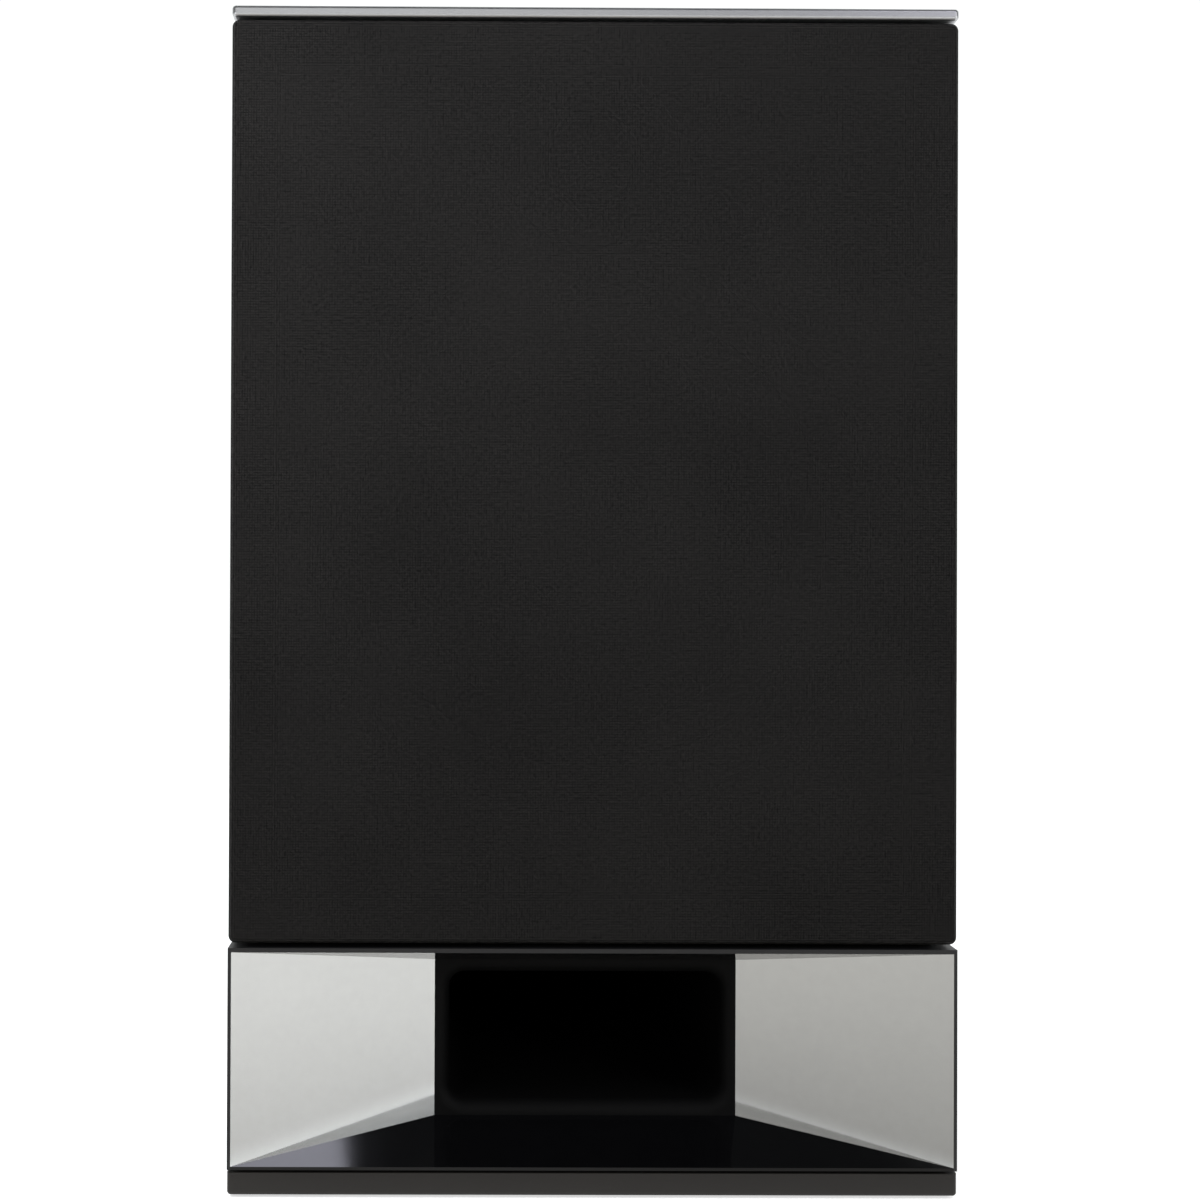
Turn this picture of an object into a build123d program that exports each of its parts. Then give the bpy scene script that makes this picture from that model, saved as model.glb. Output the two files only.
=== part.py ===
from build123d import *
from math import cos, pi, sqrt
import os

# A two-way bookshelf loudspeaker on a foot that holds the flared mouth of its reflex port.
# Millimetres. +Z is up, the front faces -Y, +X is to the right of someone looking at the front,
# and the origin lies under the middle of the speaker, on the surface that it stands on.
# Every piece is one node. "Depth" of a driver piece is counted backwards from its front flange.

# ---- Overall size
width = 208.0
depth = 270.0
height = 340.0

# ---- Heights of the stacked parts
foot_proud = 0.8
base_plate_thickness = 6.4
base_groove = 0.8
base_height = 63.0
base_gap = 1.3
top_gap = 0.8
top_plate_thickness = 3.2

# ---- Feet and base plate
foot_radius = 9.0
foot_thickness = 2.0
foot_pocket_clearance = 0.2
foot_setback_x = 20.0
foot_setback_y = 22.0
shadow_inset = 3.0
plate_edge_radius = 1.0
plate_corner_radius = 1.2

# ---- Flared mouth and port
mouth_side_land = 1.0
mouth_floor_land = 0.9
mouth_top_land = 1.2
throat_setback = 27.7
wing_depth = 3.0
horn_panel_thickness = 2.0
port_width = 82.2
port_height = 38.4
port_wall = 4.2
port_lip_radius = 4.0
port_lip_share = 0.96
port_corner_radius = 5.0
port_outer_corner_radius = 0.8
port_axis_rise = 30.8
port_riser_y = 45.0
port_bend_radius = 29.0
port_clearance = 0.3
port_tube_height = 105.0
port_tube_end_radius = 3.0
port_tube_end_share = 0.9
port_flange = 10.0
port_flange_thickness = 3.0

# ---- Base housing
housing_wall = 5.0
housing_deck = 3.0
housing_bulkhead = 4.0
housing_corner_radius = 1.0
boss_radius = 6.0
boss_inset = 10.0
boss_places_y = (-88.0, 0.0, 88.0)
deck_screw_x = 70.0
deck_screw_places_y = (-80.0, 110.0)

# ---- Countersunk screws, one size for the foot and one for the drivers
screw_radius = 2.0
screw_head_radius = 3.8
screw_head_height = 1.9
screw_length = 16.0
screw_socket = 1.25
screw_socket_depth = 1.2
screw_clearance = 0.05
small_screw_radius = 1.25
small_screw_head_radius = 2.1
small_screw_head_height = 1.0
small_screw_length = 10.0

# ---- Cabinet
panel_thickness = 12.0
baffle_thickness = 18.0
panel_edge_radius = 1.0
brace_side = 20.0
brace_y = -10.0
brace_below_top = 64.0
pad_thickness = 15.0
pad_gap = 0.3
pad_to_brace = 2.0
pad_side_length = 190.0
pad_rear_height = 130.0
pad_rear_width = 168.0
pad_lift = 6.0

# ---- Grille
grille_depth = 12.0
grille_to_baffle = 1.0
cloth_thickness = 0.8
cloth_corner_radius = 0.9
grille_rail = 12.0
grille_edge_radius = 1.5
peg_radius = 3.0
peg_length = 10.0
peg_clearance = 0.08
peg_inset = 6.0
cup_radius = 5.0
cup_flange_radius = 6.0
cup_flange_proud = 0.7
cup_depth = 13.0

# ---- Woofer
woofer_above_foot = 190.0
woofer_radius = 82.0
woofer_flange = 4.0
woofer_flange_land = 9.2
basket_lip = 3.8
basket_depth = 38.0
basket_back_radius = 47.0
basket_back_inner_radius = 30.0
basket_wall = 3.0
basket_windows = 6
basket_window_turn = 30.0
window_width = 30.0
window_near = 10.0
window_far = 30.0
woofer_screw_inset = 4.5
woofer_screws = 6
rebate_clearance = 0.3
pole_radius = 12.0
gap_clearance = 0.4
former_thickness = 0.3
winding_thickness = 0.4
winding_length = 12.0
former_front = 21.0
pole_plate_thickness = 6.0
pole_plate_radius = 38.0
magnet_radius = 45.0
magnet_inner_radius = 20.0
magnet_thickness = 14.0
yoke_radius = 40.0
yoke_thickness = 6.0
cone_neck_depth = 23.5
cone_lip_depth = 5.9
surround_inset = 0.7
cone_neck_thickening = 1.3
cone_lip = 2.2
cone_thickness = 0.9
glue_line = 0.2
cap_radius = 22.0
cap_rise = 7.0
cap_thickness = 0.8
surround_thickness = 0.8
roll_radius = 5.5
surround_foot = 4.2
surround_bond = 0.1
gasket_thickness = 1.3
spider_thickness = 0.5
spider_depth = 32.0
spider_radius = 43.0
spider_foot = 4.0
spider_wave = 0.9
spider_waves = 4
spider_points_per_wave = 8
tag_strip_length = 11.0
tag_strip_height = 20.0
tag_strip_thickness = 2.5
tag_length = 8.0
tag_height = 6.0
tag_thickness = 0.8
tag_spacing = 10.0
seat_gap = 0.3

# ---- Tweeter
tweeter_below_cabinet_top = 36.0
tweeter_radius = 26.0
tweeter_plate = 3.0
tweeter_guide_radius = 19.0
tweeter_mouth_radius = 15.0
tweeter_boss = 0.6
tweeter_boss_inner_radius = 17.5
tweeter_hole_radius = 21.5
tweeter_motor_clearance = 0.5
tweeter_screw_inset = 2.4
tweeter_screws = 3
dome_radius = 12.4
dome_rise = 4.2
dome_thickness = 0.4
dome_edge_depth = 2.5
tweeter_pole_radius = 11.6
tweeter_gap = 0.4
tweeter_coil_thickness = 0.4
tweeter_coil_length = 5.5
tweeter_pole_plate_thickness = 2.5
tweeter_magnet_thickness = 5.0
tweeter_magnet_inner_radius = 14.5
tweeter_yoke_thickness = 3.0
tweeter_roll_radius = 1.0
tweeter_surround_thickness = 0.3
tweeter_surround_foot = 2.2
dome_bond = 0.1

# ---- Terminal cup and binding posts
terminal_above_cabinet_floor = 50.0
cup_flange_width = 96.0
cup_flange_height = 70.0
cup_flange_thickness = 2.5
cup_recess_width = 74.0
cup_recess_height = 48.0
cup_recess_depth = 22.0
cup_wall = 2.5
cup_corner_radius = 4.0
cup_screw_x = 42.5
cup_screw_z = 29.5
post_spacing = 38.0
post_radius = 3.4
post_length = 20.0
post_collar_radius = 6.5
post_collar = 2.0
post_chamfer = 0.4
socket_radius = 2.025
socket_depth = 14.0
wire_hole_radius = 1.2
wire_hole_place = 4.2
thread_clearance = 0.05
washer_radius = 6.5
washer_thickness = 1.0
washer_gap = 0.3
knob_radius = 8.0
knob_length = 13.0
knob_grooves = 20
knob_groove_radius = 0.6
tail_radius = 2.0
tail_length = 13.5
nut_radius = 4.0
nut_thickness = 2.5

# ---- Crossover, on the posts' tails
board_width = 92.0
board_height = 84.0
board_thickness = 1.6
board_standoff = 5.4
board_hole_clearance = 0.2
coil_sizes = ((-27.0, 22.0, 17.0, 8.0, 14.0), (25.0, 25.0, 13.0, 6.0, 12.0))
capacitor_places_x = (-22.0, 22.0)
capacitor_drop = 18.0
capacitor_radius = 6.5
capacitor_length = 30.0
resistor_size = (30.0, 8.0, 8.0)
resistor_drop = 34.0
capacitor_gap = 0.1
lead_radius = 2.2
lead_bend = 12.0
lead_from_board_edge = 4.0
lead_first_run = 18.0
woofer_lead_above_terminal = 4.0
woofer_lead_knee = (44.0, 30.0)
woofer_lead_last_knee = 64.0
tweeter_lead_x = 4.0
tweeter_lead_above_terminal = (36.0, 100.0)
tweeter_lead_run = 50.0

# ---- Places worked out from the sizes
half_width = width / 2
front = -depth / 2
back = depth / 2
plate_top = foot_proud + base_plate_thickness
base_bottom = plate_top + base_groove
base_top = base_bottom + base_height
cabinet_bottom = base_top + base_gap
top_plate_bottom = height - top_plate_thickness
cabinet_top = top_plate_bottom - top_gap
cloth_back = front + cloth_thickness
grille_back = front + grille_depth
baffle_front = grille_back + grille_to_baffle
baffle_back = baffle_front + baffle_thickness
inner_half_width = half_width - panel_thickness
cabinet_floor = cabinet_bottom + panel_thickness
cabinet_ceiling = cabinet_top - panel_thickness
rear_inside = back - panel_thickness
woofer_z = woofer_above_foot
woofer_hole_radius = woofer_radius - woofer_flange_land
woofer_screw_circle = woofer_radius - woofer_screw_inset
flange_inner_radius = woofer_hole_radius - basket_lip
surround_outer = flange_inner_radius - surround_inset
cone_radius = surround_outer - 2 * roll_radius - surround_bond - cone_lip
tweeter_z = cabinet_top - tweeter_below_cabinet_top
tweeter_motor_radius = tweeter_hole_radius - tweeter_motor_clearance
tweeter_screw_circle = tweeter_radius - tweeter_screw_inset
terminal_z = cabinet_floor + terminal_above_cabinet_floor
throat_y = front + throat_setback
throat_half_width = port_width / 2 + port_wall
throat_half_height = port_height / 2 + port_wall
port_z = base_bottom + port_axis_rise
bulkhead_front = throat_y + wing_depth
mouth_half_width = half_width - mouth_side_land
mouth_floor = base_bottom + mouth_floor_land
mouth_ceiling = base_top - mouth_top_land
deck_bottom = base_top - housing_deck
post_x = post_spacing / 2
recess_floor = back - cup_recess_depth
cup_back = recess_floor - cup_wall
board_back = cup_back - board_standoff
board_front = board_back - board_thickness

woofer_axis = Axis((0, 0, woofer_z), (0, 1, 0))
tweeter_axis = Axis((0, 0, tweeter_z), (0, 1, 0))

os.makedirs("parts", exist_ok=True)


# ---- Shared shapes

def save(piece, name):
    """Labels a finished piece and writes its STEP file."""
    piece.part.label = name
    export_step(piece.part, f"parts/{name}.step")


def block(x, y, z, mode=Mode.ADD):
    """A box between two limits on each axis."""
    with Locations(((x[0] + x[1]) / 2, (y[0] + y[1]) / 2, (z[0] + z[1]) / 2)):
        Box(x[1] - x[0], y[1] - y[0], z[1] - z[0], mode=mode)


def rod(x, z, y, radius, mode=Mode.ADD):
    """A cylinder along Y between two limits."""
    with Locations((x, (y[0] + y[1]) / 2, z)):
        Cylinder(radius, y[1] - y[0], rotation=(90, 0, 0), mode=mode)


def pillar(x, y, z, radius, mode=Mode.ADD):
    """A cylinder along Z between two limits."""
    with Locations((x, y, (z[0] + z[1]) / 2)):
        Cylinder(radius, z[1] - z[0], mode=mode)


def turned(points, start, middle_z):
    """A closed straight-sided section of (radius, depth) pairs behind start, at a driver's height."""
    with BuildSketch(Plane.XY.offset(middle_z)) as section:
        with BuildLine():
            Polyline([(radius, start + behind) for radius, behind in points], close=True)
        make_face()
    return section.sketch


def capped(radius, rise, edge_depth, thickness, start, middle_z):
    """A section of a thin dome: its edge lies at edge_depth and its crown rises towards the front."""
    bend = (radius ** 2 + rise ** 2) / (2 * rise)
    crown = start + edge_depth - rise
    edge = start + edge_depth
    with BuildSketch(Plane.XY.offset(middle_z)) as section:
        with BuildLine():
            half = radius / 2
            sag = bend - sqrt(bend ** 2 - half ** 2)
            ThreePointArc((0, crown), (half, crown + sag), (radius, edge))
            Line((radius, edge), (radius, edge + thickness))
            ThreePointArc((radius, edge + thickness), (half, crown + sag + thickness), (0, crown + thickness))
            Line((0, crown + thickness), (0, crown))
        make_face()
    return section.sketch


def facing(x, y, z):
    """A drawing plane that looks along +Y, with +X across and +Z up the sheet."""
    return Plane(origin=(x, y, z), x_dir=(-1, 0, 0), z_dir=(0, 1, 0))


def screw(radius, head_radius, head_height, length):
    """A countersunk screw with a hexagon socket: its head is flush at the origin and it points along +Z."""
    with BuildPart() as one:
        with BuildSketch(Plane.XZ):
            with BuildLine():
                Polyline((0, 0), (head_radius, 0), (radius, head_height), (radius, length - radius),
                         (radius / 2, length), (0, length), close=True)
            make_face()
        revolve(axis=Axis.Z)
        with BuildSketch():
            RegularPolygon(screw_socket * radius / screw_radius, 6)
        extrude(amount=screw_socket_depth * radius / screw_radius, mode=Mode.SUBTRACT)
    return one.part


def screw_seat(radius, head_radius, head_height, length):
    """The countersunk hole that such a screw sits in, with its clearance."""
    gap = screw_clearance
    mouth = head_radius + gap
    with BuildPart() as seat:
        with BuildSketch(Plane.XZ):
            with BuildLine():
                Polyline((0, -1), (mouth, -1), (mouth, 0), (radius + gap, head_height),
                         (radius + gap, length + gap), (0, length + gap), close=True)
            make_face()
        revolve(axis=Axis.Z)
    return seat.part


pointing_forward = (90, 0, 0)

wood_screw = screw(screw_radius, screw_head_radius, screw_head_height, screw_length)
wood_screw_seat = screw_seat(screw_radius, screw_head_radius, screw_head_height, screw_length)
small_screw = screw(small_screw_radius, small_screw_head_radius, small_screw_head_height, small_screw_length)
small_screw_seat = screw_seat(small_screw_radius, small_screw_head_radius, small_screw_head_height,
                              small_screw_length)


def circle_places(start, middle_z, radius, count):
    """Places round a driver's flange, each facing backwards into the baffle."""
    ring = [Location(facing(0, start, middle_z)) * Location((0, 0, 0), (0, 0, 360 * (i + 0.5) / count))
            * Location((radius, 0, 0)) for i in range(count)]
    return ring


plate_screw_places = [Location((side * (half_width - boss_inset), y, foot_proud))
                      for side in (-1, 1) for y in boss_places_y]
deck_screw_places = [Location((side * deck_screw_x, y, deck_bottom))
                     for side in (-1, 1) for y in deck_screw_places_y]
woofer_screw_places = circle_places(baffle_front, woofer_z, woofer_screw_circle, woofer_screws)
tweeter_screw_places = circle_places(baffle_front, tweeter_z, tweeter_screw_circle, tweeter_screws)
terminal_screw_places = [Location((x, back, terminal_z + z), pointing_forward)
                         for x in (-cup_screw_x, cup_screw_x) for z in (-cup_screw_z, cup_screw_z)]
foot_places = [(x, y) for x in (foot_setback_x - half_width, half_width - foot_setback_x)
               for y in (front + foot_setback_y, back - foot_setback_y)]
peg_places = [(x, z) for x in (peg_inset - half_width, half_width - peg_inset)
              for z in (cabinet_bottom + peg_inset, cabinet_top - peg_inset)]


# ---- Foot: feet, base plate, housing and screws

with BuildPart() as feet:
    for x, y in foot_places:
        pillar(x, y, (0, foot_thickness), foot_radius)
    chamfer(feet.edges().group_by(Axis.Z)[0], foot_proud / 3)
save(feet, "feet")

with BuildPart() as base_plate:
    block((-half_width, half_width), (front, back), (foot_proud, plate_top))
    fillet(base_plate.edges().filter_by(Axis.Z), plate_corner_radius)
    fillet(base_plate.faces().sort_by(Axis.Z)[0].edges(), plate_edge_radius)
    block((shadow_inset - half_width, half_width - shadow_inset),
          (front + shadow_inset, back - shadow_inset), (plate_top, base_bottom))
    for x, y in foot_places:
        pillar(x, y, (0, foot_thickness), foot_radius + foot_pocket_clearance, Mode.SUBTRACT)
    with Locations(plate_screw_places):
        add(wood_screw_seat, mode=Mode.SUBTRACT)
save(base_plate, "base_plate")

with BuildPart() as base_housing:
    with BuildSketch(Plane.XY.offset(base_bottom)):
        with BuildLine():
            inner = half_width - housing_wall
            slope = throat_setback / (mouth_half_width - throat_half_width)
            thick_from = front + wing_depth + (mouth_half_width - inner) * slope
            Polyline((half_width, front), (half_width, back), (-half_width, back), (-half_width, front),
                     (-mouth_half_width, front), (-mouth_half_width, front + wing_depth),
                     (-inner, thick_from), (-inner, back - housing_wall), (inner, back - housing_wall),
                     (inner, thick_from), (mouth_half_width, front + wing_depth),
                     (mouth_half_width, front), close=True)
        make_face()
    extrude(amount=base_height)
    block((-half_width, half_width), (front, back), (mouth_ceiling, base_top))
    block((-inner, inner), (bulkhead_front, back - housing_wall), (deck_bottom, mouth_ceiling))
    block((-inner, inner), (bulkhead_front, bulkhead_front + housing_bulkhead), (base_bottom, deck_bottom))
    fillet(base_housing.edges().filter_by(Axis.Z).group_by(Axis.Y)[-1], housing_corner_radius)
    for side in (-1, 1):
        for y in boss_places_y:
            pillar(side * (half_width - boss_inset), y, (base_bottom, deck_bottom), boss_radius)
    block((-throat_half_width - port_clearance, throat_half_width + port_clearance),
          (bulkhead_front, bulkhead_front + housing_bulkhead),
          (port_z - throat_half_height - port_clearance, port_z + throat_half_height + port_clearance),
          Mode.SUBTRACT)
    block((-throat_half_width - port_clearance, throat_half_width + port_clearance),
          (port_riser_y - throat_half_height - port_clearance,
           port_riser_y + throat_half_height + port_clearance),
          (deck_bottom, base_top), Mode.SUBTRACT)
    with Locations(plate_screw_places + deck_screw_places):
        add(wood_screw_seat, mode=Mode.SUBTRACT)
save(base_housing, "base_housing")

with BuildPart() as base_screws:
    with Locations(plate_screw_places + deck_screw_places):
        add(wood_screw)
save(base_screws, "base_screws")

with BuildPart() as base_spacer:
    block((shadow_inset - half_width, half_width - shadow_inset),
          (baffle_front + shadow_inset, back - shadow_inset), (base_top, cabinet_bottom))
    block((-throat_half_width - port_clearance, throat_half_width + port_clearance),
          (port_riser_y - throat_half_height - port_clearance,
           port_riser_y + throat_half_height + port_clearance),
          (base_top, cabinet_bottom), Mode.SUBTRACT)
    with Locations(deck_screw_places):
        add(wood_screw_seat, mode=Mode.SUBTRACT)
save(base_spacer, "base_spacer")


# ---- Flared mouth: floor, ceiling and the two mirror wings

def horn_plan():
    """The mouth seen from above, between the faces of the two wings."""
    with BuildSketch(Plane.XY.offset(base_bottom)) as plan:
        with BuildLine():
            Polyline((-mouth_half_width, front), (mouth_half_width, front), (throat_half_width, throat_y),
                     (throat_half_width, bulkhead_front), (-throat_half_width, bulkhead_front),
                     (-throat_half_width, throat_y), close=True)
        make_face()
    return plan.sketch


floor_rise = port_z - throat_half_height - mouth_floor
ceiling_drop = mouth_ceiling - port_z - throat_half_height

with BuildPart() as horn_floor:
    with BuildSketch(Plane.YZ.offset(-mouth_half_width)):
        with BuildLine():
            high = mouth_floor + floor_rise
            clear_of_plate = (horn_panel_thickness - mouth_floor_land) * throat_setback / floor_rise
            Polyline((front, base_bottom), (front, mouth_floor), (throat_y, high), (bulkhead_front, high),
                     (bulkhead_front, high - horn_panel_thickness), (throat_y, high - horn_panel_thickness),
                     (front + clear_of_plate, base_bottom), close=True)
        make_face()
    extrude(amount=2 * mouth_half_width)
    extrude(horn_plan(), amount=base_height, mode=Mode.INTERSECT)
save(horn_floor, "horn_floor")

with BuildPart() as horn_ceiling:
    with BuildSketch(Plane.YZ.offset(-mouth_half_width)):
        with BuildLine():
            low = mouth_ceiling - ceiling_drop
            under_deck = horn_panel_thickness * throat_setback / ceiling_drop
            Polyline((front, mouth_ceiling), (throat_y, low), (bulkhead_front, low),
                     (bulkhead_front, low + horn_panel_thickness), (throat_y, low + horn_panel_thickness),
                     (front + under_deck, mouth_ceiling), close=True)
        make_face()
    extrude(amount=2 * mouth_half_width)
    extrude(horn_plan(), amount=base_height, mode=Mode.INTERSECT)
save(horn_ceiling, "horn_ceiling")


def mirror_wing(side):
    """A mirror-faced panel that leans in from the mouth's outer edge (side -1 or 1) to the throat."""
    with BuildPart() as wing:
        with BuildSketch(Plane.XY.offset(base_bottom)):
            with BuildLine():
                Polyline((side * mouth_half_width, front), (side * throat_half_width, throat_y),
                         (side * throat_half_width, bulkhead_front),
                         (side * mouth_half_width, front + wing_depth), close=True)
            make_face()
        extrude(amount=mouth_ceiling - base_bottom)
    return wing


mirror_wing_left = mirror_wing(-1)
save(mirror_wing_left, "mirror_wing_left")
mirror_wing_right = mirror_wing(1)
save(mirror_wing_right, "mirror_wing_right")


# ---- Reflex port: the elbow in the foot and the tube in the cabinet

with BuildPart() as port_elbow:
    with BuildLine() as route:
        Line((0, throat_y, port_z), (0, port_riser_y - port_bend_radius, port_z))
        TangentArc((0, port_riser_y - port_bend_radius, port_z),
                   (0, port_riser_y, port_z + port_bend_radius), tangent=(0, 1, 0))
        Line((0, port_riser_y, port_z + port_bend_radius), (0, port_riser_y, base_top))
    with BuildSketch(facing(0, throat_y, port_z)) as outside:
        RectangleRounded(2 * throat_half_width, 2 * throat_half_height, port_outer_corner_radius)
    sweep(path=route.wires()[0])
    with BuildSketch(facing(0, throat_y, port_z)) as inside:
        RectangleRounded(port_width, port_height, port_corner_radius)
    sweep(inside.sketch, path=route.wires()[0], mode=Mode.SUBTRACT)
    mouth_edges = port_elbow.faces().sort_by(Axis.Y)[0].inner_wires()[0].edges()
    fillet(mouth_edges, min(port_lip_radius, port_lip_share * port_wall))
save(port_elbow, "port_elbow")

with BuildPart() as port_tube:
    tube_plane = Plane.XY.offset(base_top).move(Location((0, port_riser_y, 0)))
    with BuildSketch(tube_plane):
        RectangleRounded(2 * throat_half_width, 2 * throat_half_height, port_outer_corner_radius)
    extrude(amount=cabinet_floor - base_top + port_tube_height)
    block((-throat_half_width - port_flange, throat_half_width + port_flange),
          (port_riser_y - throat_half_height - port_flange, port_riser_y + throat_half_height + port_flange),
          (cabinet_floor, cabinet_floor + port_flange_thickness))
    with BuildSketch(tube_plane):
        RectangleRounded(port_width, port_height, port_corner_radius)
    extrude(amount=cabinet_floor - base_top + port_tube_height, mode=Mode.SUBTRACT)
    top_edges = port_tube.faces().sort_by(Axis.Z)[-1].inner_wires()[0].edges()
    fillet(top_edges, min(port_tube_end_radius, port_tube_end_share * port_wall))
save(port_tube, "port_tube")


# ---- Cabinet panels, top plate and lining

def side_panel(side):
    """A side of the cabinet, behind the baffle, with its two outer upright edges eased."""
    with BuildPart() as panel:
        block(sorted((side * inner_half_width, side * half_width)), (baffle_back, back),
              (cabinet_bottom, cabinet_top))
        outer = panel.faces().sort_by(Axis.X)[0 if side < 0 else -1]
        fillet(outer.edges().filter_by(Axis.Z).sort_by(Axis.Y)[-1], panel_edge_radius)
    return panel


side_panel_left = side_panel(-1)
save(side_panel_left, "side_panel_left")
side_panel_right = side_panel(1)
save(side_panel_right, "side_panel_right")

with BuildPart() as top_panel:
    block((-inner_half_width, inner_half_width), (baffle_back, back), (cabinet_ceiling, cabinet_top))
save(top_panel, "top_panel")

with BuildPart() as bottom_panel:
    block((-inner_half_width, inner_half_width), (baffle_back, back), (cabinet_bottom, cabinet_floor))
    block((-throat_half_width - port_clearance, throat_half_width + port_clearance),
          (port_riser_y - throat_half_height - port_clearance,
           port_riser_y + throat_half_height + port_clearance),
          (cabinet_bottom, cabinet_floor), Mode.SUBTRACT)
    with Locations(deck_screw_places):
        add(wood_screw_seat, mode=Mode.SUBTRACT)
save(bottom_panel, "bottom_panel")

with BuildPart() as rear_panel:
    block((-inner_half_width, inner_half_width), (rear_inside, back), (cabinet_floor, cabinet_ceiling))
    with BuildSketch(facing(0, rear_inside, terminal_z)):
        RectangleRounded(cup_recess_width + 2 * (cup_wall + rebate_clearance),
                         cup_recess_height + 2 * (cup_wall + rebate_clearance), cup_corner_radius)
    extrude(amount=panel_thickness, mode=Mode.SUBTRACT)
    with BuildSketch(facing(0, back - cup_flange_thickness, terminal_z)):
        RectangleRounded(cup_flange_width + 2 * rebate_clearance, cup_flange_height + 2 * rebate_clearance,
                         cup_corner_radius)
    extrude(amount=cup_flange_thickness, mode=Mode.SUBTRACT)
    with Locations(terminal_screw_places):
        add(wood_screw_seat, mode=Mode.SUBTRACT)
save(rear_panel, "rear_panel")

with BuildPart() as front_baffle:
    block((-half_width, half_width), (baffle_front, baffle_back), (cabinet_bottom, cabinet_top))
    rod(0, woofer_z, (baffle_front, baffle_back), woofer_hole_radius, Mode.SUBTRACT)
    rod(0, woofer_z, (baffle_front, baffle_front + woofer_flange), woofer_radius + rebate_clearance,
        Mode.SUBTRACT)
    rod(0, tweeter_z, (baffle_front, baffle_back), tweeter_hole_radius, Mode.SUBTRACT)
    rod(0, tweeter_z, (baffle_front, baffle_front + tweeter_plate), tweeter_radius + rebate_clearance,
        Mode.SUBTRACT)
    for x, z in peg_places:
        rod(x, z, (baffle_front, baffle_front + cup_depth), cup_radius, Mode.SUBTRACT)
    with Locations(woofer_screw_places):
        add(wood_screw_seat, mode=Mode.SUBTRACT)
    with Locations(tweeter_screw_places):
        add(small_screw_seat, mode=Mode.SUBTRACT)
save(front_baffle, "front_baffle")

brace_top = cabinet_top - brace_below_top
brace_bottom = brace_top - brace_side
with BuildPart() as cross_brace:
    block((-inner_half_width, inner_half_width), (brace_y - brace_side / 2, brace_y + brace_side / 2),
          (brace_bottom, brace_top))
save(cross_brace, "cross_brace")


def side_pad(side):
    """A plain block of damping foam on the inside of a cabinet side."""
    with BuildPart() as pad:
        near = inner_half_width - pad_gap
        rear = rear_inside - pad_thickness - pad_lift
        block(sorted((side * (near - pad_thickness), side * near)), (rear - pad_side_length, rear),
              (cabinet_floor + pad_lift, brace_bottom - pad_to_brace))
    return pad


damping_pad_left = side_pad(-1)
save(damping_pad_left, "damping_pad_left")
damping_pad_right = side_pad(1)
save(damping_pad_right, "damping_pad_right")

with BuildPart() as damping_pad_rear:
    near = rear_inside - pad_gap
    block((-pad_rear_width / 2, pad_rear_width / 2), (near - pad_thickness, near),
          (cabinet_ceiling - pad_lift - pad_rear_height, cabinet_ceiling - pad_lift))
save(damping_pad_rear, "damping_pad_rear")

with BuildPart() as top_spacer:
    block((shadow_inset - half_width, half_width - shadow_inset),
          (baffle_front + shadow_inset, back - shadow_inset), (cabinet_top, top_plate_bottom))
save(top_spacer, "top_spacer")

with BuildPart() as top_plate:
    block((-half_width, half_width), (front, back), (top_plate_bottom, height))
    fillet(top_plate.edges().filter_by(Axis.Z), plate_corner_radius)
    fillet(top_plate.faces().filter_by(Axis.Z).edges(), plate_edge_radius)
save(top_plate, "top_plate")


# ---- Grille: frame, cloth, pegs and the cups that the pegs push into

with BuildPart() as grille_frame:
    frame_half_width = half_width - cloth_thickness
    frame_bottom = cabinet_bottom + cloth_thickness
    frame_top = cabinet_top - cloth_thickness
    block((-frame_half_width, frame_half_width), (cloth_back, grille_back), (frame_bottom, frame_top))
    fillet(grille_frame.edges().filter_by(Axis.Y), cloth_corner_radius)
    block((grille_rail - frame_half_width, frame_half_width - grille_rail), (cloth_back, grille_back),
          (frame_bottom + grille_rail, frame_top - grille_rail), Mode.SUBTRACT)
    chamfer(grille_frame.faces().sort_by(Axis.Y)[-1].inner_wires()[0].edges(), grille_edge_radius)
save(grille_frame, "grille_frame")

with BuildPart() as grille_cloth:
    block((-half_width, half_width), (front, cloth_back), (cabinet_bottom, cabinet_top))
    fillet(grille_cloth.edges().filter_by(Axis.Y), cloth_corner_radius)
save(grille_cloth, "grille_cloth")

with BuildPart() as grille_pegs:
    for x, z in peg_places:
        rod(x, z, (grille_back, grille_back + peg_length), peg_radius)
    chamfer(grille_pegs.edges().group_by(Axis.Y)[-1], peg_radius / 4)
save(grille_pegs, "grille_pegs")

with BuildPart() as grille_cups:
    for x, z in peg_places:
        rod(x, z, (baffle_front, baffle_front + cup_depth), cup_radius)
        rod(x, z, (baffle_front - cup_flange_proud, baffle_front), cup_flange_radius)
        rod(x, z, (baffle_front - cup_flange_proud, grille_back + peg_length + seat_gap),
            peg_radius + peg_clearance, Mode.SUBTRACT)
save(grille_cups, "grille_cups")


# ---- Woofer

with BuildPart() as woofer_basket:
    outer_top = woofer_hole_radius - rebate_clearance - 1
    revolve(turned([(flange_inner_radius, 0), (woofer_radius, 0), (woofer_radius, woofer_flange),
                    (outer_top, woofer_flange), (basket_back_radius, basket_depth - basket_wall),
                    (basket_back_radius, basket_depth), (basket_back_inner_radius, basket_depth),
                    (basket_back_inner_radius, basket_depth - basket_wall),
                    (basket_back_radius - basket_wall, basket_depth - basket_wall),
                    (flange_inner_radius, woofer_flange)], baffle_front, woofer_z), axis=woofer_axis)
    with BuildSketch(facing(0, baffle_front + window_near, woofer_z)):
        with PolarLocations((basket_back_radius + woofer_radius) / 2, basket_windows, start_angle=basket_window_turn):
            Rectangle(woofer_radius - basket_back_radius, window_width)
    extrude(amount=window_far - window_near, mode=Mode.SUBTRACT)
    with Locations(woofer_screw_places):
        add(wood_screw_seat, mode=Mode.SUBTRACT)
save(woofer_basket, "woofer_basket")

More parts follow.
